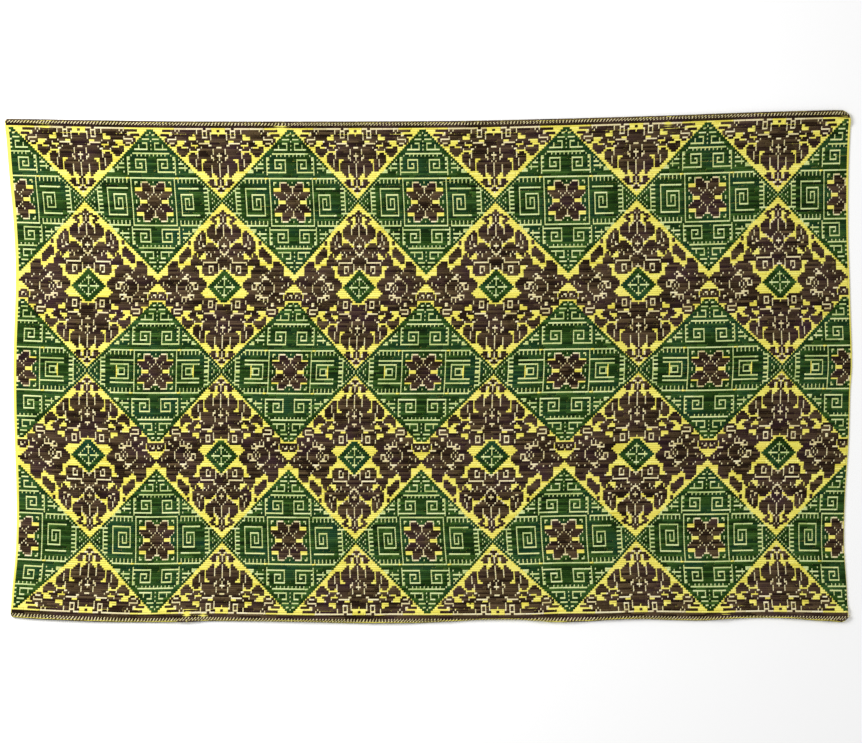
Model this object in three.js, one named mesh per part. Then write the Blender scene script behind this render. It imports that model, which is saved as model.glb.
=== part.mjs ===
// A flat-woven wool rug lying on a floor: one cloth, with both long edges turned under as narrow hems.
// Millimetres, +Z up, +X along the rug, +Y across it. The origin is the middle of the outline, on the
// underside, which lies flat at z = 0.
import * as THREE from 'three';

// Driving dimensions.
const LENGTH = 2000;
const WIDTH = 1200;
const CLOTH_THICKNESS = 4.6;
const HEM_THICKNESS = 8.2;
const HEM_DEPTH = 27;
const HEM_SHOULDER = 14;
const UNEVENNESS = 0.45;

// How the cloth is divided: even steps along and across, with finer lines listed by their distance
// from a side, where the edge turns over.
const STEPS_ALONG = 44;
const STEPS_ACROSS = 24;
const SELVEDGE_LINES = [0, 0.7, 2.3, 10];
const HEM_LINES = [0, 1.2, 4.1, 14, HEM_DEPTH, HEM_DEPTH + HEM_SHOULDER];

// Each side wanders in and out of its straight line, as the weaver's tension changed. at: distance along
// the side from its middle. out: how far the cloth reaches past the straight line.
const TOP_SIDE = [
  { at: -1014, out: -6 }, { at: -790, out: -10 }, { at: -550, out: -13 }, { at: 50, out: -12 },
  { at: 290, out: -7 }, { at: 530, out: 0 }, { at: 770, out: 9 }, { at: 990, out: 15 },
];
const BOTTOM_SIDE = [
  { at: -1000, out: 1 }, { at: -836, out: 10 }, { at: -580, out: 12 }, { at: -530, out: 9 },
  { at: -308, out: 12 }, { at: -92, out: 15 }, { at: 28, out: 12 }, { at: 124, out: 7 },
  { at: 220, out: 7 }, { at: 316, out: 13 }, { at: 412, out: 8 }, { at: 508, out: 5 },
  { at: 652, out: 8 }, { at: 772, out: 2 }, { at: 844, out: 3 }, { at: 976, out: 12 },
];
const LEFT_SIDE = [
  { at: -600, out: 2 }, { at: -540, out: -1 }, { at: -440, out: -10 }, { at: -320, out: -12 },
  { at: -80, out: -5 }, { at: 40, out: -5 }, { at: 232, out: -10 }, { at: 376, out: -3 },
  { at: 448, out: 4 }, { at: 594, out: 16 },
];
const RIGHT_SIDE = [
  { at: -590, out: 7 }, { at: -512, out: 3 }, { at: -416, out: -3 }, { at: -296, out: 0 },
  { at: -176, out: 8 }, { at: -56, out: 12 }, { at: 4, out: 16 }, { at: 112, out: 13 },
  { at: 208, out: 10 }, { at: 304, out: 7 }, { at: 400, out: 7 }, { at: 496, out: 9 }, { at: 594, out: 14 },
];

// Corner radii. right and top are the signs of the corner's X and Y.
const CORNERS = [
  { right: -1, top: 1, radius: 7 }, { right: 1, top: 1, radius: 27 },
  { right: -1, top: -1, radius: 9 }, { right: 1, top: -1, radius: 17 },
];

// Slow rise and fall of the pile of yarn on the face: waves along and across the whole rug, and a phase.
const FACE_WAVES = [
  { along: 3.1, across: 1.3, phase: 0.4, share: 0.45 },
  { along: -5.3, across: 2.2, phase: 1.9, share: 0.30 },
  { along: 8.7, across: 4.1, phase: 3.2, share: 0.25 },
];

// A smooth curve through a side's table, level past its ends.
function reach(side, at) {
  const last = side.length - 1;
  if (at <= side[0].at) return side[0].out;
  if (at >= side[last].at) return side[last].out;
  const i = side.findIndex((point) => point.at > at) - 1;
  const slope = (k) => {
    const before = side[Math.max(k - 1, 0)];
    const after = side[Math.min(k + 1, last)];
    return (after.out - before.out) / (after.at - before.at);
  };
  const span = side[i + 1].at - side[i].at;
  const t = (at - side[i].at) / span;
  const blend = t * t * (3 - 2 * t);
  return side[i].out * (1 - blend) + side[i + 1].out * blend
    + span * t * (1 - t) * ((1 - t) * slope(i) - t * slope(i + 1));
}

// Lines across a span, from one side to the other: the listed lines at both sides, even steps between.
function gridLines(size, steps, edgeLines) {
  const inner = edgeLines[edgeLines.length - 1];
  const middle = [];
  for (let i = 1; i < steps; i += 1) middle.push(-size / 2 + inner + ((size - 2 * inner) * i) / steps);
  const near = edgeLines.map((line) => -size / 2 + line);
  const far = edgeLines.map((line) => size / 2 - line).reverse();
  return [...near, ...middle, ...far];
}

// Draws a point near a corner in, so that the corner is round.
function roundCorner(x, y) {
  const corner = CORNERS.find((one) => one.right * x > 0 && one.top * y > 0);
  if (!corner) return [x, y];
  const u = 1 - (LENGTH / 2 - Math.abs(x)) / corner.radius;
  const v = 1 - (WIDTH / 2 - Math.abs(y)) / corner.radius;
  if (u <= 0 || v <= 0) return [x, y];
  const drawnX = LENGTH / 2 - corner.radius * (1 - u * Math.sqrt(1 - (v * v) / 2));
  const drawnY = WIDTH / 2 - corner.radius * (1 - v * Math.sqrt(1 - (u * u) / 2));
  return [Math.sign(x) * drawnX, Math.sign(y) * drawnY];
}

// Where a point of the straight rug lies once its sides wander.
function place(x, y) {
  const [cutX, cutY] = roundCorner(x, y);
  const towardsRight = cutX / LENGTH + 0.5;
  const towardsTop = cutY / WIDTH + 0.5;
  const outX = reach(RIGHT_SIDE, cutY) * towardsRight - reach(LEFT_SIDE, cutY) * (1 - towardsRight);
  const outY = reach(TOP_SIDE, cutX) * towardsTop - reach(BOTTOM_SIDE, cutX) * (1 - towardsTop);
  return [cutX + outX, cutY + outY];
}

function smoothStep(from, to, value) {
  const t = THREE.MathUtils.clamp((value - from) / (to - from), 0, 1);
  return t * t * (3 - 2 * t);
}

// Thickness of the cloth, doubled where the hem is turned under, and uneven on its face.
function thickness(x, y) {
  const fromLongSide = WIDTH / 2 - Math.abs(y);
  const hem = 1 - smoothStep(HEM_DEPTH, HEM_DEPTH + HEM_SHOULDER, fromLongSide);
  let wave = 0;
  for (const { along, across, phase, share } of FACE_WAVES) {
    wave += share * Math.sin((2 * Math.PI * (along * x + across * y)) / LENGTH + phase);
  }
  return CLOTH_THICKNESS + (HEM_THICKNESS - CLOTH_THICKNESS) * hem + UNEVENNESS * wave;
}

// How full the section is at a distance from the edge: 0 on the edge itself, 1 past the rounding.
function fullness(distance, radius) {
  const short = 1 - Math.min(distance / radius, 1);
  return Math.sqrt(1 - short * short);
}

function rugGeometry() {
  const xs = gridLines(LENGTH, STEPS_ALONG, SELVEDGE_LINES);
  const ys = gridLines(WIDTH, STEPS_ACROSS, HEM_LINES);
  const positions = [];
  const faceIndex = [];
  const underIndex = [];
  const onEdge = (i, j) => i === 0 || j === 0 || i === xs.length - 1 || j === ys.length - 1;
  xs.forEach((x, i) => {
    faceIndex.push([]);
    underIndex.push([]);
    ys.forEach((y, j) => {
      const thick = thickness(x, y);
      const round = fullness(LENGTH / 2 - Math.abs(x), CLOTH_THICKNESS / 2)
        * fullness(WIDTH / 2 - Math.abs(y), HEM_THICKNESS / 2);
      const [px, py] = place(x, y);
      faceIndex[i].push(positions.length / 3);
      positions.push(px, py, (thick / 2) * (1 + round));
      if (onEdge(i, j)) {
        underIndex[i].push(faceIndex[i][j]);
      } else {
        underIndex[i].push(positions.length / 3);
        positions.push(px, py, (thick / 2) * (1 - round));
      }
    });
  });
  const triangles = [];
  for (let i = 0; i < xs.length - 1; i += 1) {
    for (let j = 0; j < ys.length - 1; j += 1) {
      const face = [faceIndex[i][j], faceIndex[i + 1][j], faceIndex[i + 1][j + 1], faceIndex[i][j + 1]];
      const under = [underIndex[i][j], underIndex[i + 1][j], underIndex[i + 1][j + 1], underIndex[i][j + 1]];
      triangles.push(face[0], face[1], face[2], face[0], face[2], face[3]);
      triangles.push(under[0], under[2], under[1], under[0], under[3], under[2]);
    }
  }
  const geometry = new THREE.BufferGeometry();
  geometry.setAttribute('position', new THREE.Float32BufferAttribute(positions, 3));
  geometry.setIndex(triangles);
  geometry.computeBoundingBox();
  const { min, max } = geometry.boundingBox;
  geometry.translate(-(min.x + max.x) / 2, -(min.y + max.y) / 2, -min.z);
  geometry.computeVertexNormals();
  return geometry;
}

const wool = new THREE.MeshStandardMaterial({ color: 0xc9b23a, roughness: 0.95, metalness: 0 });
const rug = new THREE.Mesh(rugGeometry(), wool);
rug.name = 'rug';

const part = new THREE.Group();
part.add(rug);
export default part;
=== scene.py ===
# A flat-woven wool rug lying on a floor: a yellow ground cloth with both long edges turned under, and
# stitches of green, dark brown and pale wool worked row by row from a chart.
# Metres, +Z up, +X along the rug, +Y across it. The underside lies at z = 0.
import math
import random

import bpy
import numpy as np
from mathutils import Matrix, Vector


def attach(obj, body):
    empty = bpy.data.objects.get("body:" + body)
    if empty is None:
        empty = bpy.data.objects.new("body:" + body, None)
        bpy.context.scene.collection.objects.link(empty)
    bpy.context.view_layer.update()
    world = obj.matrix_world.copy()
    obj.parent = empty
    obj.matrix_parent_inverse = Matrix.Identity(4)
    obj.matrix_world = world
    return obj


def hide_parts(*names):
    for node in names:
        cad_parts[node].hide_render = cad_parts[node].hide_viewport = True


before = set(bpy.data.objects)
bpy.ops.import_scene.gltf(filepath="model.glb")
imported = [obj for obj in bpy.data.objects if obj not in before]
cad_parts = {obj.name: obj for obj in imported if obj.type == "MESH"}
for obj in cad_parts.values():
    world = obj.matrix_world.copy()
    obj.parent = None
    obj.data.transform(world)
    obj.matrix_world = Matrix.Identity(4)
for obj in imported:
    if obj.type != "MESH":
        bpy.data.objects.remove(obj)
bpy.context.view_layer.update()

MM = 0.001

# Sizes of the cloth.
LENGTH = 2.000
WIDTH = 1.200
CLOTH_THICKNESS = 0.0030
HEM_DEPTH = 0.027
HEM_SHOULDER = 0.014
HEM_GAP = 0.0002
UNEVENNESS = 0.00045

# The fold of each hem, measured on the cloth's middle layer. Stitches under the hem keep it off the floor.
UNDER_HEM = 0.0013
FOLD_RADIUS = (CLOTH_THICKNESS + HEM_GAP) / 2
FOLD_LINE = WIDTH / 2 - FOLD_RADIUS - CLOTH_THICKNESS / 2
FOLD_ARC = math.pi * FOLD_RADIUS
OUTER_ARC = math.pi * (FOLD_RADIUS + CLOTH_THICKNESS / 2)
CUT_HALF_WIDTH = FOLD_LINE + FOLD_ARC + HEM_DEPTH - (WIDTH / 2 - FOLD_LINE)

# Puckers of the hems, where the sewing thread draws the cloth up: the place along the rug, which long side,
# the height and the width, in millimetres. They slant as they run in from the edge.
PUCKERS = [(-583, -1, 2.6, 9), (-545, -1, 1.6, 14), (-350, 1, 1.4, 16), (-905, 1, 2.2, 24),
           (120, 1, 1.6, 12), (255, -1, 1.4, 20), (566, 1, 1.8, 15), (700, -1, 1.5, 18),
           (-130, -1, 1.2, 14)]
PUCKER_SLANT = 0.25

# How far each side wanders past its straight line, in millimetres. First the distance along the side from
# its middle, then how far the cloth reaches out there.
TOP_SIDE = [(-1014, -6), (-790, -10), (-550, -13), (50, -12), (290, -7), (530, 0), (770, 9), (990, 15)]
BOTTOM_SIDE = [(-1000, 1), (-836, 10), (-580, 12), (-530, 9), (-308, 12), (-92, 15), (28, 12), (124, 7),
               (220, 7), (316, 13), (412, 8), (508, 5), (652, 8), (772, 2), (844, 3), (976, 12)]
LEFT_SIDE = [(-600, 2), (-540, -1), (-440, -10), (-320, -12), (-80, -5), (40, -5), (232, -10), (376, -3),
             (448, 4), (594, 16)]
RIGHT_SIDE = [(-590, 7), (-512, 3), (-416, -3), (-296, 0), (-176, 8), (-56, 12), (4, 16), (112, 13),
              (208, 10), (304, 7), (400, 7), (496, 9), (594, 14)]

# Corner radii: the signs of the corner's X and Y, and the radius.
CORNERS = [(-1, 1, 0.007), (1, 1, 0.027), (-1, -1, 0.009), (1, -1, 0.017)]

# Slow rise and fall of the face: how many waves each makes over the rug's length, along and across it, then
# its phase and its share of the unevenness.
FACE_WAVES = [(3.1, 1.3, 0.4, 0.45), (-5.3, 2.2, 1.9, 0.30), (8.7, 4.1, 3.2, 0.25)]

# Lines of the ground cloth's mesh: distances in from the ends and from the cut edges, then even steps.
END_LINES = [0, 0.0004, 0.0012, 0.0032, 0.010]
CUT_LINES = [0.003, 0.0014, 0.0005, 0.0]
STEPS_ALONG = 150
STEPS_ACROSS = 84
STEPS_SHOULDER = 6
STEPS_HEM = 4
STEPS_ROUND = 8
STEPS_UNDER = 3

# The weave. A repeat is 70 columns wide, and the bottom half of the rug mirrors its top half. The green
# diamonds of the top row rise by one row more than those of the middle row.
HALF_REPEAT = 35
TALL_RISE = 42
SHORT_RISE = 41
COLUMNS = 12 * HALF_REPEAT + 1
LAST_ROW = 237
ROW_PITCH = 0.0049

# Rows at the middles of the flower diamonds: those that the top border cuts off, and the first whole ones.
EDGE_FLOWER_ROW = -7
FLOWER_ROW = 77

# The line along each border, and the stitches of the two rows next to it that differ from the flower's, by
# their first column. Inside a slanting line, the rows near the border take the flower one row off.
EDGE_LINE = "...." + "---b" + "-" * 15 + "." * 13
EDGE_STITCHES = {1: [(0, "b..."), (25, "bbbb..")], 2: [(0, "...."), (25, "......")]}
SHIFTED_ROWS = 8
SHIFTED_COLUMNS = 33

# Where the columns at the middles of the motifs lie, in millimetres from the middle of the rug, near the
# top and near the bottom. The weaver packed the warps unevenly.
COLUMN_PLACES = [
    (0, -989.0, -991.4), (35, -826.0, -821.0), (70, -658.0, -657.0), (105, -497.0, -497.0),
    (140, -327.0, -333.0), (175, -172.0, -168.0), (210, -12.0, -5.0), (245, 156.0, 163.0),
    (280, 328.0, 335.0), (315, 494.0, 505.0), (350, 663.0, 671.0), (385, 832.0, 838.0), (420, 992.0, 996.0),
]
COLUMNS_TOP = 0.398
COLUMNS_BOTTOM = -0.579

# The columns bow to the left below the middle of the rug. The bow grows and fades between these places
# across the rug.
COLUMN_BOW = 0.017
BOW_GROWS = (0.42, -0.15)
BOW_FADES = (-0.60, -0.30)

# How far down the pattern the rows at the middles of the motifs lie, as a share of its whole depth.
ROW_PLACES = [(0, 0.0), (35, 0.1485), (77, 0.3267), (118.5, 0.5011), (160, 0.6763), (202, 0.8511),
              (237, 1.0)]

# The rows sag towards the right: where that starts and is full along the rug, then down the pattern.
ROW_SAG = 0.005
SAG_ALONG = (0, 0.8)
SAG_GROWS = (0, 0.15)
SAG_FADES = (0.9, 0.3)

# Every row sways a little: how far, and how fast each wave turns along the rug and from row to row.
ROW_WANDER = 0.0003
ROW_WAVES = [(37, 2.4), (11, 0.9)]

# How much of the border shows between the pattern and the fold of each hem, in millimetres.
TOP_BORDER = [(-1000, 17), (-656, 17.5), (0, 17.5), (660, 17.5), (1000, 18)]
BOTTOM_BORDER = [(-1002, 22), (-836, 22.5), (-690, 20), (-580, 22), (-530, 20), (-308, 18.6), (-92, 21.6),
                 (28, 18.6), (124, 13.7), (220, 14.4), (316, 23), (412, 19), (508, 18.7), (652, 20),
                 (772, 16), (844, 17), (976, 24)]

# Rows of the two borders, counted outwards from the pattern: their pitch and how many there are up to the
# cut edge. All but the checked ones are plain, and the last run round the fold and beneath.
TOP_BORDER_ROWS = (0.0031, 14)
BOTTOM_BORDER_ROWS = (0.0043, 10)
CHECKED_ROWS = (3, 4)

# Where the border rows start and end, and how long their floats are, in columns. A check may be as short as
# a share of its usual length, or longer by the spread, and leans this far across its row.
BORDER_FIRST, BORDER_LAST = -2.0, 422.0
BORDER_FLOAT = (6, 11)
BROWN_CHECK = 0.75
CREAM_CHECK = 0.85
SHORTEST_CHECK = 0.85
CHECK_SPREAD = 0.3
CHECK_LEAN = 0.0009

# The flower diamond, right half, read outwards from its middle column, from its top row to its bottom row.
# b is brown, g green, - pale, and . the yellow ground.
FLOWER_TOP = 37
FLOWER = """
b
bb
b-bb
-b..bb
-b...bb
-b..bb
b-..b
-b-..bb
-bb-.bbb
-bbb-bbbb
-bbb-bbbb..b
-bbb-bbbb.bbb
-bbbbbbbb.bb-b
b-bbbbbb..bb-bb
bb-bbb-...bb-bb
bbb-b-....bbb-bb..b
-bb-..bbb.b-b-bb..b
--b..bbbbb--bbbb
-bb-bbbbbbbb--bb...b
bb-bbbbbbbbbbbbb..bbb
b--bb-bb-b-bbbb...bbbb
--bbbbb-b-..bb.b..bbbbb
-b-bbbb-bb...b.bb.bbbbbb
bbb--bbbbb....bbb...bbbb
bbbb-bbbbbbb-bbbbb...bbb
bbbb--------bbbbbb....bb.bbb
bbb-bbbbbbb-bbbbbb.......bbbb
-bb-bb---bbb...-bbbbb....bbbbb
--b-bb-b-bbb...bbbbbbb..bbbbbb
g..-bb-b-bbb..bbbbbbbbb-bbbbbb
gg..bbb--bbb..bbbbbbbb-bbbbbbb
ggg...bbbbb...bbbbb--bbbbbbbbb
-ggg..........bbbb-b--bbb-bb-bbbb...
--ggg.......bbbbbbb----bbbbbb-bbbb..
-g-ggg.....bbbbbbbb-bbb-bbbbbbbbbbb.
-gg-ggg...bbbbb----bbbbb-bbbbbbb-bbb
-ggg-ggg..bbbb-b--b-bbbbb-bbbb-b-b..
g-----ggg.bbbb-b-b-b-bbbb-bbb-bbb...
-ggg-ggg...bbb---b-b-bbbb-bbbbbb....
-gg-ggg.....bbbbb-b-bbbbb-bbbbb.....
-g-ggg.......bbbbb-bbbbb-bbb---.bbb.
--ggg.......bbbb----bbb-bbbbbb.bb--b
-ggg.......bbbbb-b-----bbb-bbb.b-b-b
ggg..bbbbbbbbbbbb--b-b-bbbb--b-bbbbb
gg..bb---bb-bbbbbbbb-b-bbbbb-bb.....
....-b-b-bb-bbbbbbbbb-bb--bbbbb
.bbb-b-b-bbb..bbbbbbbbbb--bbbbb
bbbb-b---bbb....bbbbbb-bbbb
bbbb-bbbbbbb....bbbbbb-----b
bbbbb...bbb-bbbbb-....bbbb-b
bbbbb------bbb-bbb....b----b
bbbb--bbbbb....bbbb....bbbb
-bbb-bbbbbb...bbbb...b
--bbbbbbb-bb.bbb-...bb
bbb-bbbbbb--bbb-bbbbbb
bbb-bbbbbbb.....bbbbbb
-bb-bbbbbbb-.bb..bbbb
--bb-bbbbbb-bbbb..bb
-bb--bbbbbb-bbbb
-bb-bbb...bb-bbb
b-bbbbbb..bb-bbb
-bbbbbbbb.bb-bb
-bbb-bbbb.bb-b
-bbb-bbbb.bbb
-bbb-bbbb.bb
-bbb-bbb
-bb..bb
-b...b
b
-b..bb
-b.-bbb
-b.-bb
-.bbb
b--
bb
-
""".split()

# The star in the middle of each green diamond, right half, from its middle row outwards. That of the short
# diamonds has one row fewer.
STAR = """
bbbb....g-g-
bbb-bbb-ggg-
bb-bbbbb-gg-
b-b-bbbbb-g-
-bbb-bbbbbg-
-bbbbb....g-
-bbbbb....g-
--bbbb-gggg-
gg-bbb-gg-g-
-gg----g--g-
ggggggggggg-
------------
""".split()
SHORT_STAR = STAR[:6] + STAR[7:]

# Pale lines on the green diamonds: the first and last column out from the diamond's middle, and the lowest
# and highest row up from it.
SIDE_COMB = [(28, 28, -6, 6), (29, 29, 5, 5), (29, 29, -6, -6)]
TALL_LINES = SIDE_COMB + [
    (0, 23, 11, 11), (0, 11, -12, -12), (13, 23, -12, -12), (12, 12, -13, -13), (11, 11, -14, -14),
    (22, 22, -13, -13), (13, 23, 6, 6), (14, 23, -7, -7), (14, 14, -7, 3), (14, 20, 3, 3), (20, 20, -4, 3),
    (16, 20, -4, -4), (16, 16, -4, 1), (16, 18, 1, 1), (18, 18, -2, 1)]
SHORT_LINES = SIDE_COMB + [
    (0, 23, 10, 10), (12, 23, 5, 5), (14, 23, 3, 3), (14, 14, 0, 3), (16, 19, 1, 1), (16, 16, 0, 0),
    (19, 19, 0, 0)]
UPRIGHT_TEETH = [(26, 27, up, up) for up in range(-6, 7, 2)]

# A line in the left half of the tall diamond only, a yellow line in the short diamond, and the yellow gap
# in the line above each star.
LEFT_LINES = [(23, 23, -6, 5)]
YELLOW_LINES = [(20, 20, 0, 2)]
YELLOW_GAP = [(12, 13, 11, 11)]

# Lines that come both above and below the diamond's middle row.
SMALL_SPIRAL = [(3, 12, 14, 14), (3, 3, 14, 20), (3, 8, 20, 20), (8, 8, 16, 20), (5, 8, 16, 16),
                (5, 5, 16, 18), (6, 6, 18, 18)]
SIDE_MARKS = [(14, 18, 16, 16), (17, 17, 15, 17), (14, 16, 18, 18), (15, 15, 19, 19), (14, 14, 20, 20),
              (19, 20, 14, 15), (21, 21, 14, 14), (14, 14, 14, 14)]
PEAK_MARKS = [(12, 12, 13, 21), (11, 11, 21, 21), (10, 10, 22, 22), (0, 9, 23, 23), (2, 8, 25, 25),
              (2, 2, 26, 28), (3, 4, 28, 28), (6, 6, 26, 27), (0, 0, 25, 25), (0, 0, 27, 27),
              (0, 0, 29, 29), (1, 4, 30, 30), (1, 2, 32, 32), (0, 0, 33, 33)]
PEAK_TEETH = [(out, out, 22, 22) for out in range(1, 8, 2)]
SPIRAL_TEETH = [(11, 11, up, up) for up in range(14, 21, 2)]
CORNER_STEPS = [(27 - step, 27 - step, 7 + step, 7 + step) for step in range(4)]
CROSSING_DOTS = [(30, 30, 4, 4), (31, 31, 3, 3), (32, 32, 2, 2), (33, 33, 1, 1), (34, 34, 0, 0),
                 (30, 30, 1, 1), (31, 31, 0, 0)]

# Yarns by their letter in the woven rows: the shortest and longest float in columns, and its lift at the
# crest. Dark yarns are thick: they lie over the edges of the paler stitches beside them. The last entry is
# how much paler each stitch is painted along its edges than on its crest: a painted highlight where the
# rows meet, which also stands in for the pale ground showing between rows.
YARNS = {
    "b": {"name": "brown", "floats": (4, 8), "lift": 0.00125, "thick": True, "edge_highlight": 0.55},
    "g": {"name": "green", "floats": (3, 7), "lift": 0.00125, "thick": True, "edge_highlight": 0.3},
    "c": {"name": "cream", "floats": (5, 9), "lift": 0.00050, "thick": False, "edge_highlight": 0.0},
    "p": {"name": "pale", "floats": (5, 9), "lift": 0.00050, "thick": False, "edge_highlight": 0.0},
    ".": {"name": "yellow", "floats": (4, 8), "lift": 0.00042, "thick": False, "edge_highlight": 0.0},
}

# A pale stitch near brown ones is cream, and the others are a pale green. Each brown stitch near it counts
# as this many green ones.
BROWN_COUNTS_AS = 3

# A dark stitch reaches this far to each side of its row's middle: less where the next row is dark too, and
# in the borders a share of the pitch. Its ends stop short of a dark neighbour, or lie over a pale one.
TIGHT_REACH = 0.00272
LOOSE_REACH = 0.0037
BORDER_REACH = 0.60
STITCH_GAP = 0.0001
OVERLAP = 0.0011

# How far a stitch's edges sink into the cloth, and how far its ends slope.
STITCH_SINK = 0.00025
STITCH_SLOPE = 0.0016

# Shares of full height and width at each step along a float.
SHORT_RISES, SHORT_WIDTHS = [0.6, 1.0, 0.6], [0.97, 1.0, 0.97]
LONG_RISES, LONG_WIDTHS = [0.5, 1.0, 1.0, 0.5], [0.97, 1.0, 1.0, 0.97]

# Each float has a shade, from 0 for dark to 1 for pale, and shares a part of it with its row. The height
# and width of a float at shade 0, and how much more it has at shade 1.
ROW_SHADE = 0.45
HEIGHT_AT_DARK, HEIGHT_MORE = 0.86, 0.24
WIDTH_AT_DARK, WIDTH_MORE = 0.95, 0.08
SEED = 7

# How finely the wool's fibres and its streaks of dye are grained, in turns a metre along the rug, across it
# and upwards. Then how fine its patches of dye are, and its twist.
YARN_FIBRES = (260.0, 1500.0, 1500.0)
GROUND_FIBRES = (300.0, 1300.0, 1300.0)
DYE_STREAKS = (6.0, 60.0, 6.0)
DYE_PATCHES = 14.0
GROUND_PATCHES = 11.0
TWISTS = 210.0

# The tones at which each dye is at its darkest, in the middle and at its lightest.
YARN_TONES = (0.26, 0.5, 0.80)
GROUND_TONES = (0.15, 0.5, 0.9)

# How wool takes light: dull, and rougher where its fibres stand up.
WOOL_ROUGHNESS = 0.80
FIBRE_ROUGHNESS = 0.15
WOOL_SHINE = {"Sheen Weight": 0.02, "Sheen Roughness": 0.5, "Specular IOR Level": 0.08}

# The photograph's width in pixels and the size of each, and where the camera hangs.
PHOTO_WIDTH = 862
METRES_A_PIXEL = 0.0024
CAMERA_PLACE = (0.006, -0.0114, 6.0)

# Soft lights: name, place, what it is aimed at, size and power.
LIGHTS = [("window", (-2.6, 1.4, 2.6), (-0.3, 0.0, 0.0), 2.2, 150.0),
          ("fill", (1.8, -2.2, 3.2), (0.0, 0.0, 0.0), 2.5, 10.0)]
SKY_STRENGTH = 0.56
FLOOR_PALENESS = 0.97
FLOOR_REACH = 30.0


def curve_through(table, at):
    """A smooth curve through a table of places and values, level past its ends. All in millimetres."""
    places = np.array([row[0] for row in table], float)
    values = np.array([row[1] for row in table], float)
    slopes = np.empty(len(table))
    slopes[1:-1] = (values[2:] - values[:-2]) / (places[2:] - places[:-2])
    slopes[0] = (values[1] - values[0]) / (places[1] - places[0])
    slopes[-1] = (values[-1] - values[-2]) / (places[-1] - places[-2])
    at = np.clip(np.asarray(at, float), places[0], places[-1])
    i = np.clip(np.searchsorted(places, at, side="right") - 1, 0, len(table) - 2)
    span = places[i + 1] - places[i]
    t = (at - places[i]) / span
    blend = t * t * (3 - 2 * t)
    bend = span * t * (1 - t) * ((1 - t) * slopes[i] - t * slopes[i + 1])
    return values[i] * (1 - blend) + values[i + 1] * blend + bend


def side_reach(side, at):
    return curve_through(side, np.asarray(at) / MM) * MM


def smooth_step(start, end, value):
    t = np.clip((value - start) / (end - start), 0, 1)
    return t * t * (3 - 2 * t)


def round_corners(x, y):
    """Draws points near a corner in, so that the corner is round."""
    drawn_x, drawn_y = x.copy(), y.copy()
    for right, top, radius in CORNERS:
        u = 1 - (LENGTH / 2 - np.abs(x)) / radius
        v = 1 - (WIDTH / 2 - np.abs(y)) / radius
        near = (right * x > 0) & (top * y > 0) & (u > 0) & (v > 0)
        in_x = LENGTH / 2 - radius * (1 - u * np.sqrt(np.clip(1 - v * v / 2, 0, 1)))
        in_y = WIDTH / 2 - radius * (1 - v * np.sqrt(np.clip(1 - u * u / 2, 0, 1)))
        drawn_x = np.where(near, right * in_x, drawn_x)
        drawn_y = np.where(near, top * in_y, drawn_y)
    return drawn_x, drawn_y


def wander(x, y):
    """Where a point of the straight rug lies once its sides wander."""
    x, y = round_corners(np.asarray(x, float), np.asarray(y, float))
    rightward = x / LENGTH + 0.5
    upward = y / WIDTH + 0.5
    out_x = side_reach(RIGHT_SIDE, y) * rightward - side_reach(LEFT_SIDE, y) * (1 - rightward)
    out_y = side_reach(TOP_SIDE, x) * upward - side_reach(BOTTOM_SIDE, x) * (1 - upward)
    return x + out_x, y + out_y


def rug_middle():
    """The middle of the wandering outline, which lies over the origin."""
    along = np.linspace(-LENGTH / 2, LENGTH / 2, 2001)
    across = np.linspace(-WIDTH / 2, WIDTH / 2, 1201)
    ends = [wander(np.full_like(across, side * LENGTH / 2), across)[0] for side in (-1, 1)]
    edges = [wander(along, np.full_like(along, side * WIDTH / 2))[1] for side in (-1, 1)]
    return (ends[0].min() + ends[1].max()) / 2, (edges[0].min() + edges[1].max()) / 2


MIDDLE_X, MIDDLE_Y = rug_middle()


def face_wave(x, y):
    total = np.zeros(np.broadcast(x, y).shape)
    for along, across, phase, share in FACE_WAVES:
        total = total + share * np.sin(2 * math.pi * (along * x + across * y) / LENGTH + phase)
    return total


def cut_distance(face_distance):
    """Turns a distance over the cloth's face into one along its middle layer, shorter round a fold."""
    reach = np.abs(face_distance)
    past = np.maximum(reach - FOLD_LINE, 0)
    round_fold = np.minimum(past, OUTER_ARC) * FOLD_ARC / OUTER_ARC
    distance = np.minimum(reach, FOLD_LINE) + round_fold + np.maximum(past - OUTER_ARC, 0)
    return np.sign(face_distance) * distance


def cloth_section(s):
    """The cloth's middle layer cut across the rug: its y and z, and the way its face looks. s is the
    distance along the cut from the rug's middle, round the fold and back under the hem."""
    side = np.sign(s) + (s == 0)
    a = np.abs(s)
    hem_start = WIDTH / 2 - HEM_DEPTH - HEM_SHOULDER
    hem_end = WIDTH / 2 - HEM_DEPTH
    rise = smooth_step(hem_start, hem_end, a)
    slope = (smooth_step(hem_start, hem_end, a + MM / 2) - smooth_step(hem_start, hem_end, a - MM / 2)) / MM
    hem_rise = 2 * FOLD_RADIUS + UNDER_HEM
    tilt = np.arctan(slope * hem_rise)
    turn = np.clip((a - FOLD_LINE) / FOLD_RADIUS, 0, math.pi)
    under = np.maximum(a - FOLD_LINE - FOLD_ARC, 0)
    on_face = a <= FOLD_LINE
    y = np.where(on_face, a, FOLD_LINE + FOLD_RADIUS * np.sin(turn) - under)
    z = np.where(on_face, hem_rise * rise, UNDER_HEM + FOLD_RADIUS * (1 + np.cos(turn)))
    z = z + CLOTH_THICKNESS / 2
    look_y = np.where(on_face, -np.sin(tilt), np.sin(turn))
    look_z = np.where(on_face, np.cos(tilt), np.cos(turn))
    return side * y, z, side * look_y, look_z


def pucker_lift(x, y):
    """How far the puckers raise the hems off the floor, both layers together."""
    total = np.zeros(np.broadcast(x, y).shape)
    near_edge = smooth_step(WIDTH / 2 - HEM_DEPTH - 2 * HEM_SHOULDER, WIDTH / 2, np.abs(y))
    for at, side, height, width in PUCKERS:
        over = (x - at * MM - PUCKER_SLANT * (WIDTH / 2 - np.abs(y))) / (width * MM)
        total = total + height * MM * np.exp(-over * over) * near_edge * (side * y > 0)
    return total


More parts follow.
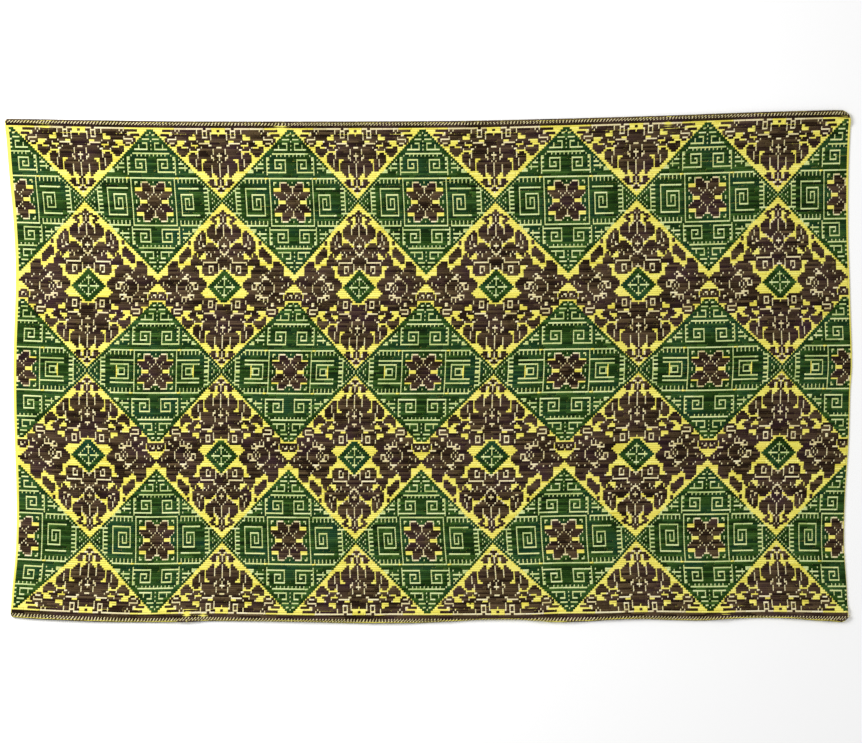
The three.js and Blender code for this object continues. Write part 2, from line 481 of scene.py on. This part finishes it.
def place_on_cloth(x, s, height_at):
    """Points off the cloth's middle layer, by a height towards the side that its face looks to."""
    y, z, look_y, look_z = cloth_section(s)
    height = height_at(y, look_z)
    x, y = np.broadcast_arrays(x, y + look_y * height)
    placed_x, placed_y = wander(x, y)
    placed_z = z + look_z * height + pucker_lift(x, y)
    return np.stack([placed_x - MIDDLE_X, placed_y - MIDDLE_Y, placed_z], axis=-1)


def on_cloth(x, s, lift, share=1.0):
    """Points at a height above the cloth's face. share draws face and back together towards an edge."""
    def height_at(y, look_z):
        return (CLOTH_THICKNESS / 2 + UNEVENNESS * face_wave(x, y) * np.clip(look_z, 0, 1)) * share + lift
    return place_on_cloth(x, s, height_at)


def under_cloth(x, s, share):
    """Points on the cloth's back."""
    return place_on_cloth(x, s, lambda y, look_z: -CLOTH_THICKNESS / 2 * share)


def column_place(column, y):
    """How far along the straight rug a column lies, at y across it."""
    columns, top_places, bottom_places = zip(*COLUMN_PLACES)
    lines = []
    for places in (top_places, bottom_places):
        values = [place * MM for place in places]
        inside = np.interp(column, columns, values)
        left = np.minimum(column - columns[0], 0) * (values[1] - values[0]) / HALF_REPEAT
        right = np.maximum(column - columns[-1], 0) * (values[-1] - values[-2]) / HALF_REPEAT
        lines.append(inside + left + right)
    down = (COLUMNS_TOP - y) / (COLUMNS_TOP - COLUMNS_BOTTOM)
    bow = COLUMN_BOW * np.sin(math.pi * np.clip(column / COLUMNS, 0, 1)) ** 2
    bow = bow * smooth_step(*BOW_GROWS, y) * smooth_step(*BOW_FADES, y)
    return lines[0] * (1 - down) + lines[1] * down - bow


def border_distance(count, pitch):
    """From the pattern's last row to the middle of a border row, counted outwards."""
    return np.where(count > 0, ROW_PITCH / 2 + (count - 0.5) * pitch, 0)


def row_place(row, x):
    """Where a row of stitches runs: its distance over the cloth's face from the rug's middle, at x."""
    top = WIDTH / 2 - side_reach(TOP_BORDER, x)
    bottom = -WIDTH / 2 + side_reach(BOTTOM_BORDER, x)
    down = np.interp(row, *zip(*ROW_PLACES))
    above = border_distance(-row, TOP_BORDER_ROWS[0])
    below = border_distance(row - LAST_ROW, BOTTOM_BORDER_ROWS[0])
    sway = ROW_WANDER
    for along, across in ROW_WAVES:
        sway = sway * np.sin(x * along + row * across)
    sag = ROW_SAG * smooth_step(*SAG_ALONG, x)
    sag = sag * smooth_step(*SAG_GROWS, down) * smooth_step(*SAG_FADES, down)
    return top + (bottom - top) * down + above - below + sway - sag


def repeat_chart(rise, lines, star, drop, other_lines, other_yarn):
    """The right half of one repeat round a flower diamond, from its top tip to its bottom tip. drop is how
    many rows nearer to the middle of a green diamond the marks round its star come."""
    chart = {}
    for row in range(-rise, rise + 1):
        line = ["." if column < rise - abs(row) else "g" for column in range(HALF_REPEAT + 1)]
        index = FLOWER_TOP - row
        stitches = FLOWER[index] if 0 <= index < len(FLOWER) else ""
        line[:len(stitches)] = stitches
        chart[row] = line[:HALF_REPEAT + 1]

    def work(out, up, yarn):
        """One stitch of a green diamond, whose halves lie below and above the flower diamond."""
        middles = [-rise] if up > 0 else [rise] if up < 0 else [-rise, rise]
        for middle in middles:
            chart[middle + up][HALF_REPEAT - out] = yarn

    def work_lines(wanted, signs=(1,), yarn="-", lower=0):
        """Lines of stitches above the diamond's middle row, and below it for the sign -1."""
        for first_out, last_out, low, high in wanted:
            for out in range(first_out, last_out + 1):
                for up in range(low, high + 1):
                    for sign in signs:
                        work(out, sign * (up - lower), yarn)

    both = (1, -1)
    comb_teeth = [(out, out, low, low + 1) for out in range(13, 24, 2) for low in (9 - drop, -11 + drop)]
    work_lines(lines + comb_teeth + UPRIGHT_TEETH)
    work_lines(PEAK_MARKS + PEAK_TEETH + CROSSING_DOTS, both)
    work_lines(SMALL_SPIRAL + SPIRAL_TEETH + SIDE_MARKS + CORNER_STEPS, both, lower=drop)
    for k, stitches in enumerate(star):
        for out, yarn in enumerate(stitches):
            work(out, k, yarn)
            work(out, -1 - k, yarn)
    work_lines(YELLOW_GAP, yarn=".", lower=drop)
    work_lines(other_lines, yarn=other_yarn)
    return chart


def across_rug(line):
    """A row of the half repeat, opened out over every column of the rug. l is pale in left halves only."""
    opened = []
    for column in range(COLUMNS):
        place = column % (2 * HALF_REPEAT)
        yarn = line[abs(place - HALF_REPEAT)]
        if yarn == "l":
            yarn = "-" if place > HALF_REPEAT else "g"
        opened.append(yarn)
    return opened


def edge_row(row, tall):
    """A row of the flowers that the top border cuts off, counted from the border."""
    if row == 0:
        return list(EDGE_LINE)
    line = list(tall[EDGE_FLOWER_ROW - row])
    if row <= SHIFTED_ROWS:
        shifted = SHIFTED_COLUMNS - row
        line[:shifted] = tall[EDGE_FLOWER_ROW - row + 1][:shifted]
    for first, stitches in EDGE_STITCHES.get(row, []):
        line[first:first + len(stitches)] = stitches
    return line


def woven_rows():
    """Every row of the pattern as a list of yarns, from the top border's line to the bottom border's."""
    tall = repeat_chart(TALL_RISE, TALL_LINES, STAR, 0, LEFT_LINES, "l")
    short = repeat_chart(SHORT_RISE, SHORT_LINES, SHORT_STAR, 1, YELLOW_LINES, ".")
    top_half = []
    for row in range((LAST_ROW + 1) // 2):
        if row <= FLOWER_ROW - TALL_RISE:
            line = edge_row(row, tall)
        elif row <= FLOWER_ROW:
            line = tall[FLOWER_ROW - row]
        else:
            line = short[FLOWER_ROW - row]
        top_half.append(across_rug(line))
    return top_half + top_half[::-1]


def cloth_chart():
    """The woven rows as one grid of letters. Pale stitches near brown are cream, and the rest stay pale."""
    grid = np.array(woven_rows())
    padded = np.pad(grid, 1, constant_values=".")
    rows, columns = grid.shape
    near = [padded[up:up + rows, over:over + columns] for up in range(3) for over in range(3)]
    browns = sum((part == "b").astype(int) for part in near)
    greens = sum((part == "g").astype(int) for part in near)
    is_cream = (grid == "-") & (browns * BROWN_COUNTS_AS >= greens) & (browns > 0)
    grid = np.where(is_cream, "c", grid)
    return np.where(grid == "-", "p", grid)


def float_shade(row_shade, draw):
    return ROW_SHADE * row_shade + (1 - ROW_SHADE) * draw.random()


def check_length(yarn, draw):
    usual = BROWN_CHECK if yarn == "b" else CREAM_CHECK
    return usual * (SHORTEST_CHECK + CHECK_SPREAD * draw.random())


def border_floats():
    """The floats of both borders, brown and cream, listed as floats_of lists the pattern's."""
    draw = random.Random(SEED + 1)
    found = {"b": [], "c": []}
    for outward, (pitch, count) in ((-1, TOP_BORDER_ROWS), (1, BOTTOM_BORDER_ROWS)):
        for step in range(1, count + 1):
            row = -step if outward < 0 else LAST_ROW + step
            row_shade = draw.random()
            edge = BORDER_FIRST
            yarn = "b"
            while edge < BORDER_LAST:
                if step in CHECKED_ROWS:
                    length = check_length(yarn, draw)
                    if edge == BORDER_FIRST and step == CHECKED_ROWS[-1]:
                        length = BROWN_CHECK + CREAM_CHECK
                else:
                    length = draw.uniform(*BORDER_FLOAT)
                end = min(edge + length, BORDER_LAST)
                shade = float_shade(row_shade, draw)
                dark_beside = int(step not in CHECKED_ROWS)
                found[yarn].append((row, edge + 0.5, end - 0.5, shade, 1, 1, dark_beside, dark_beside))
                edge = end
                if step in CHECKED_ROWS:
                    yarn = "c" if yarn == "b" else "b"
    return found


def floats_of(grid):
    """Every float of each yarn: its row, its first and last column, its shade, the dark share of the rows
    above and below it, and whether dark yarn lies left and right of it."""
    draw = random.Random(SEED)
    found = {yarn: [] for yarn in YARNS}
    dark = np.pad(np.isin(grid, ["b", "g"]), 1).astype(float)
    sums = np.concatenate([np.zeros((len(dark), 1)), np.cumsum(dark[:, 1:-1], axis=1)], axis=1)
    for row, line in enumerate(grid):
        row_shade = draw.random()
        column = 0
        while column < len(line):
            yarn = line[column]
            end = column
            limit = draw.randint(*YARNS[yarn]["floats"])
            while end + 1 < len(line) and line[end + 1] == yarn and end - column + 1 < limit:
                end += 1
            shade = float_shade(row_shade, draw)
            count = end + 1 - column
            above = (sums[row, end + 1] - sums[row, column]) / count
            below = (sums[row + 2, end + 1] - sums[row + 2, column]) / count
            left, right = dark[row + 1, column], dark[row + 1, end + 2]
            found[yarn].append((row, column, end, shade, above, below, left, right))
            column = end + 1
    return found


def mesh_object(name, points, faces, smooth=True):
    mesh = bpy.data.meshes.new(name)
    mesh.from_pydata(points, [], faces)
    mesh.validate()
    if smooth:
        mesh.shade_smooth()
    piece = bpy.data.objects.new(name, mesh)
    bpy.context.scene.collection.objects.link(piece)
    return piece


def stitch_ends(row, first, last):
    """Where floats start and end along the rug, kept off its two ends."""
    middle = column_place((first + last) / 2, np.zeros(len(row)))
    rough_y = np.clip(row_place(row, middle), -WIDTH / 2, WIDTH / 2)
    limit = LENGTH / 2 - CLOTH_THICKNESS / 2
    left = np.maximum(column_place(first - 0.5, rough_y), -limit)
    right = np.minimum(column_place(last + 0.5, rough_y), limit)
    return left, right


def stitch_reach(row, dark_share, thick):
    """How far stitches reach across their rows towards a row with this share of dark stitches."""
    if thick:
        reach = LOOSE_REACH + (TIGHT_REACH - LOOSE_REACH) * dark_share
    else:
        reach = np.full(len(row), ROW_PITCH / 2)
    reach = np.where(row < 0, BORDER_REACH * TOP_BORDER_ROWS[0], reach)
    return np.where(row > LAST_ROW, BORDER_REACH * BOTTOM_BORDER_ROWS[0], reach)


def ridge_faces(base, rings):
    """Faces of ridges that start at the points base, with three points to each ring."""
    faces = []
    for ring in range(rings - 1):
        near, far = base + ring * 3, base + ring * 3 + 3
        for one, other in ((0, 1), (1, 2), (2, 0)):
            side = np.concatenate([near + one, far + one, far + other, near + other], axis=1)
            faces.extend(side.tolist())
    faces.extend(np.concatenate([base, base + 1, base + 2], axis=1).tolist())
    end = base + (rings - 1) * 3
    faces.extend(np.concatenate([end, end + 2, end + 1], axis=1).tolist())
    return faces


def make_stitches(name, floats, yarn, lean):
    """One mesh of low rounded ridges, one for each float. lean tilts the short ones across their row."""
    points, faces, shades = [], [], []
    start = 0
    for long_floats in (False, True):
        chosen = [one for one in floats if (one[2] > one[1] + 1) == long_floats]
        if not chosen:
            continue
        row, first, last, shade, above, below, dark_left, dark_right = np.array(chosen, float).T
        left, right = stitch_ends(row, first, last)
        if yarn["thick"]:
            left = left + np.where(dark_left > 0, STITCH_GAP, -OVERLAP)
            right = right - np.where(dark_right > 0, STITCH_GAP, -OVERLAP)
        if long_floats:
            along = np.stack([left, left + STITCH_SLOPE, right - STITCH_SLOPE, right], axis=1)
            rises, widths = np.array(LONG_RISES), np.array(LONG_WIDTHS)
        else:
            along = np.stack([left, (left + right) / 2, right], axis=1)
            rises, widths = np.array(SHORT_RISES), np.array(SHORT_WIDTHS)
        rings = len(rises)
        middle = row_place(row[:, None], along) + (0 if long_floats else lean) * np.linspace(-1, 1, rings)
        high = yarn["lift"] * (HEIGHT_AT_DARK + HEIGHT_MORE * shade[:, None]) * rises
        spread = (WIDTH_AT_DARK + WIDTH_MORE * shade[:, None]) * widths * (1 + STITCH_SINK / high)
        upper = middle + stitch_reach(row, above, yarn["thick"])[:, None] * spread
        lower = middle - stitch_reach(row, below, yarn["thick"])[:, None] * spread
        sunk = np.full_like(high, -STITCH_SINK)
        x = np.repeat(along[:, :, None], 3, axis=2)
        s = np.stack([lower, middle, upper], axis=2)
        placed = on_cloth(x, cut_distance(s), np.stack([sunk, high, sunk], axis=2)).reshape(-1, 3)
        points.append(placed)
        # Painted highlight: each stitch is painted paler along its edges, where the rows meet, than on its
        # crest.
        edge_shades = shade[:, None] + yarn["edge_highlight"] * np.array([1, 0, 1])
        shades.append(np.repeat(edge_shades[:, None, :], rings, axis=1).reshape(-1))
        faces.extend(ridge_faces(start + np.arange(len(row))[:, None] * rings * 3, rings))
        start += len(placed)
    piece = mesh_object(name, np.concatenate(points).tolist(), faces)
    attribute = piece.data.attributes.new("shade", "FLOAT", "POINT")
    attribute.data.foreach_set("value", np.concatenate(shades).astype(np.float32))
    return piece


def lines_along():
    half = LENGTH / 2
    inner = half - END_LINES[-1]
    middle = np.linspace(-inner, inner, STEPS_ALONG + 1)[1:-1]
    ends = half - np.array(END_LINES)
    return np.concatenate([-ends, middle, ends[::-1]])


def lines_across():
    """Lines over the cut width of the cloth, denser at the shoulder, the fold and the cut edge."""
    shoulder = WIDTH / 2 - HEM_DEPTH - HEM_SHOULDER
    flat = np.linspace(0, shoulder, STEPS_ACROSS // 2 + 1)
    slope = np.linspace(shoulder, shoulder + HEM_SHOULDER, STEPS_SHOULDER + 1)[1:]
    hem = np.linspace(shoulder + HEM_SHOULDER, FOLD_LINE, STEPS_HEM + 1)[1:]
    fold = np.linspace(FOLD_LINE, FOLD_LINE + FOLD_ARC, STEPS_ROUND + 1)[1:]
    under = np.linspace(FOLD_LINE + FOLD_ARC, CUT_HALF_WIDTH - CUT_LINES[0], STEPS_UNDER + 1)[1:]
    cut = CUT_HALF_WIDTH - np.array(CUT_LINES[1:])
    half = np.concatenate([flat, slope, hem, fold, under, cut])
    return np.concatenate([-half[:0:-1], half])


def fullness(distance, radius):
    short = 1 - np.clip(distance / radius, 0, 1)
    return np.sqrt(1 - short * short)


def make_ground_cloth():
    """The yellow cloth, one closed sheet with both long edges folded under."""
    along, across = lines_along(), lines_across()
    x, s = np.meshgrid(along, across, indexing="ij")
    share = fullness(LENGTH / 2 - np.abs(x), CLOTH_THICKNESS / 2)
    share = share * fullness(CUT_HALF_WIDTH - np.abs(s), CLOTH_THICKNESS / 2)
    face = on_cloth(x, s, 0.0, share).reshape(-1, 3)
    back = under_cloth(x, s, share).reshape(-1, 3)
    count_x, count_s = x.shape
    index = np.arange(count_x * count_s).reshape(count_x, count_s)
    inside = np.zeros_like(index, bool)
    inside[1:-1, 1:-1] = True
    back_index = index.copy()
    back_index[inside] = index.size + np.arange(inside.sum())
    points = np.concatenate([face, back[inside.reshape(-1)]])

    def cells(grid, corners):
        parts = {"a": grid[:-1, :-1], "b": grid[1:, :-1], "c": grid[1:, 1:], "d": grid[:-1, 1:]}
        return np.stack([parts[corner].reshape(-1) for corner in corners], axis=1).tolist()

    faces = cells(index, "abcd") + cells(back_index, "adcb")
    piece = mesh_object("ground_cloth", points.tolist(), faces)
    row = (WIDTH / 2 - s) / ROW_PITCH
    column = x / (LENGTH / COLUMNS)
    weave = np.stack([column, row, np.zeros_like(row)], axis=-1).reshape(-1, 3)
    weave = np.concatenate([weave, weave[inside.reshape(-1)]])
    attribute = piece.data.attributes.new("weave", "FLOAT_VECTOR", "POINT")
    attribute.data.foreach_set("vector", weave.astype(np.float32).reshape(-1))
    piece.data.materials.append(ground_wool())
    return piece


class Value:
    """A shader socket that can be used in sums, which add their Math nodes."""

    def __init__(self, finish, socket):
        self.finish = finish
        self.socket = socket

    def sum(self, operation, first, second):
        return self.finish.node("ShaderNodeMath", {"operation": operation}, {0: first, 1: second})

    def __add__(self, other):
        return self.sum("ADD", self, other)

    __radd__ = __add__

    def __sub__(self, other):
        return self.sum("SUBTRACT", self, other)

    def __rsub__(self, other):
        return self.sum("SUBTRACT", other, self)

    def __mul__(self, other):
        return self.sum("MULTIPLY", self, other)

    __rmul__ = __mul__


class Finish:
    """One material and its nodes."""

    def __init__(self, name):
        self.material = bpy.data.materials.new(name)
        self.material.use_nodes = True
        self.tree = self.material.node_tree
        self.tree.nodes.clear()

    def node(self, kind, settings=None, sockets=None, output=0):
        """Adds a node: its settings first, then the values or links of its sockets."""
        made = self.tree.nodes.new(kind)
        for name, value in (settings or {}).items():
            if name == "stops":
                self.set_stops(made.color_ramp, value)
            else:
                setattr(made, name, value)
        for name, value in (sockets or {}).items():
            if isinstance(value, Value):
                self.tree.links.new(value.socket, made.inputs[name])
            else:
                made.inputs[name].default_value = value
        return Value(self, made.outputs[output]) if made.outputs else None

    @staticmethod
    def set_stops(ramp, stops):
        while len(ramp.elements) < len(stops):
            ramp.elements.new(1.0)
        for element, (place, dye) in zip(ramp.elements, stops):
            element.position = place
            element.color = dye

    def object_place(self):
        return self.node("ShaderNodeTexCoord", output="Object")

    def stretched(self, vector, factors):
        return self.node("ShaderNodeVectorMath", {"operation": "MULTIPLY"}, {0: vector, 1: factors})

    def noise(self, vector, scale, detail):
        return self.node("ShaderNodeTexNoise", {"noise_dimensions": "3D"},
                         {"Vector": vector, "Scale": scale, "Detail": detail})

    def mix(self, share, first, second):
        settings = {"data_type": "RGBA", "blend_type": "MIX"}
        return self.node("ShaderNodeMix", settings, {0: share, 6: first, 7: second}, output=2)

    def attribute(self, name, output):
        return self.node("ShaderNodeAttribute", {"attribute_name": name}, output=output)

    def part_of(self, vector, axis):
        return self.node("ShaderNodeSeparateXYZ", None, {"Vector": vector}, output=axis)

    def sine(self, angle):
        return self.node("ShaderNodeMath", {"operation": "SINE"}, {0: angle})

    def dyes(self, tone, tones, colours):
        return self.node("ShaderNodeValToRGB", {"stops": list(zip(tones, colours))}, {"Fac": tone})

    def bump(self, strength, depth, height):
        sockets = {"Strength": strength, "Distance": depth, "Height": height}
        return self.node("ShaderNodeBump", None, sockets)

    def close_wool(self, base, fibres, bump):
        roughness = fibres * FIBRE_ROUGHNESS + WOOL_ROUGHNESS
        return self.close({"Base Color": base, "Roughness": roughness, "Normal": bump, **WOOL_SHINE})

    def close(self, sockets):
        shader = self.node("ShaderNodeBsdfPrincipled", None, sockets)
        self.node("ShaderNodeOutputMaterial", None, {"Surface": shader})
        return self.material


def colour(red, green, blue):
    """A colour as a screen shows it, 0 to 255, turned into light."""
    channels = [value / 255 for value in (red, green, blue)]
    light = [c / 12.92 if c <= 0.04045 else ((c + 0.055) / 1.055) ** 2.4 for c in channels]
    return (*light, 1.0)


def wool_yarn(name, dark, middle, light, tint, tint_share):
    """Spun wool: fine fibres, patches and long streaks of slightly different dye, and a soft twist. The
    tint shows where patches and streaks are palest."""
    finish = Finish(name)
    place = finish.object_place()
    shade = finish.attribute("shade", "Fac")
    fibres = finish.noise(finish.stretched(place, YARN_FIBRES), 1.0, 3.0)
    patches = finish.noise(place, DYE_PATCHES, 3.0)
    streaks = finish.noise(finish.stretched(place, DYE_STREAKS), 1.0, 2.0)
    tone = shade * 0.42 + fibres * 0.42 + patches * 0.30 + streaks * 0.16 - 0.15
    dyed = finish.dyes(tone, YARN_TONES, (dark, middle, light))
    tinted = (patches - 0.45) * 5.0 * tint_share + (streaks - 0.5) * 2.0 * tint_share
    tint_mask = finish.node("ShaderNodeClamp", None, {"Value": tinted})
    base = finish.mix(tint_mask, dyed, tint)
    twist = finish.node("ShaderNodeTexWave", {"wave_type": "BANDS", "bands_direction": "DIAGONAL"},
                        {"Vector": place, "Scale": TWISTS, "Distortion": 1.5, "Detail": 1.0})
    return finish.close_wool(base, fibres, finish.bump(0.5, 0.0004, twist * 0.6 + fibres * 0.7))


def ground_wool():
    """The ground cloth: yellow wool in plain weave, with two ribs to each row."""
    finish = Finish("yellow_ground_wool")
    place = finish.object_place()
    weave = finish.attribute("weave", "Vector")
    fibres = finish.noise(finish.stretched(place, GROUND_FIBRES), 1.0, 3.0)
    patches = finish.noise(place, GROUND_PATCHES, 3.0)
    tone = fibres * 0.55 + patches * 0.55 - 0.05
    yellows = (colour(204, 188, 62), colour(232, 221, 98), colour(247, 240, 132))
    dyed = finish.dyes(tone, GROUND_TONES, yellows)
    rib = finish.sine(finish.part_of(weave, "Y") * (4 * math.pi))
    warp = finish.sine(finish.part_of(weave, "X") * (2 * math.pi))
    height = rib * 0.3 + warp * rib * 0.25 + fibres * 0.6
    return finish.close_wool(dyed, fibres, finish.bump(0.6, 0.0005, height))


def make_camera():
    """Straight above, at the photograph's scale and offset."""
    data = bpy.data.cameras.new("camera")
    data.type = "PERSP"
    data.sensor_width = 36.0
    data.lens = data.sensor_width * CAMERA_PLACE[2] / (PHOTO_WIDTH * METRES_A_PIXEL)
    data.clip_end = 50.0
    camera = bpy.data.objects.new("camera", data)
    camera.location = CAMERA_PLACE
    bpy.context.scene.collection.objects.link(camera)
    bpy.context.scene.camera = camera


def make_light(name, place, aim, size, power):
    data = bpy.data.lights.new(name, "AREA")
    data.shape = "DISK"
    data.size = size
    data.energy = power
    light = bpy.data.objects.new(name, data)
    light.location = place
    light.rotation_euler = (Vector(aim) - Vector(place)).to_track_quat("-Z", "Y").to_euler()
    bpy.context.scene.collection.objects.link(light)


def make_stage():
    """A plain pale floor, a soft sky and two soft lights."""
    far = FLOOR_REACH
    corners = [(-far, -far, 0), (far, -far, 0), (far, far, 0), (-far, far, 0)]
    floor = mesh_object("floor", corners, [(0, 1, 2, 3)], smooth=False)
    pale = (FLOOR_PALENESS, FLOOR_PALENESS, FLOOR_PALENESS, 1.0)
    floor.data.materials.append(Finish("pale_floor").close({"Base Color": pale, "Roughness": 0.9}))
    world = bpy.data.worlds.new("studio")
    world.use_nodes = True
    sky = world.node_tree.nodes["Background"]
    sky.inputs["Color"].default_value = (1.0, 1.0, 1.0, 1.0)
    sky.inputs["Strength"].default_value = SKY_STRENGTH
    bpy.context.scene.world = world
    for light in LIGHTS:
        make_light(*light)
    bpy.context.scene.view_settings.view_transform = "Standard"


def wool_yarns():
    """The finish of each yarn: dark, middle and light dye, then a tint and how much of it shows."""
    return {
        "b": wool_yarn("brown_wool", colour(13, 4, 1), colour(38, 23, 9), colour(108, 89, 60),
                       colour(52, 28, 42), 0.5),
        "g": wool_yarn("green_wool", colour(5, 17, 1), colour(25, 54, 7), colour(72, 109, 42),
                       colour(8, 56, 44), 0.45),
        "c": wool_yarn("cream_wool", colour(188, 172, 112), colour(230, 218, 168), colour(250, 244, 208),
                       colour(232, 212, 170), 0.4),
        "p": wool_yarn("pale_wool", colour(156, 176, 98), colour(200, 215, 146), colour(232, 240, 184),
                       colour(222, 220, 130), 0.4),
        ".": wool_yarn("yellow_wool", colour(212, 196, 66), colour(238, 228, 104), colour(250, 244, 140),
                       colour(234, 208, 96), 0.25),
    }


def make_all_stitches():
    """Every stitch of the pattern and then of the borders, one piece for each yarn."""
    finishes = wool_yarns()
    pieces = []
    for ending, lean, found in (("_stitches", 0.0, floats_of(cloth_chart())),
                                ("_border_stitches", CHECK_LEAN, border_floats())):
        for letter, floats in found.items():
            piece = make_stitches(YARNS[letter]["name"] + ending, floats, YARNS[letter], lean)
            piece.data.materials.append(finishes[letter])
            pieces.append(piece)
    return pieces


make_camera()
make_stage()
ground_cloth = make_ground_cloth()
stitches = make_all_stitches()

for piece in [ground_cloth] + stitches:
    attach(piece, "root")
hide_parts("rug")
2 * CUT_HALF_WIDTH
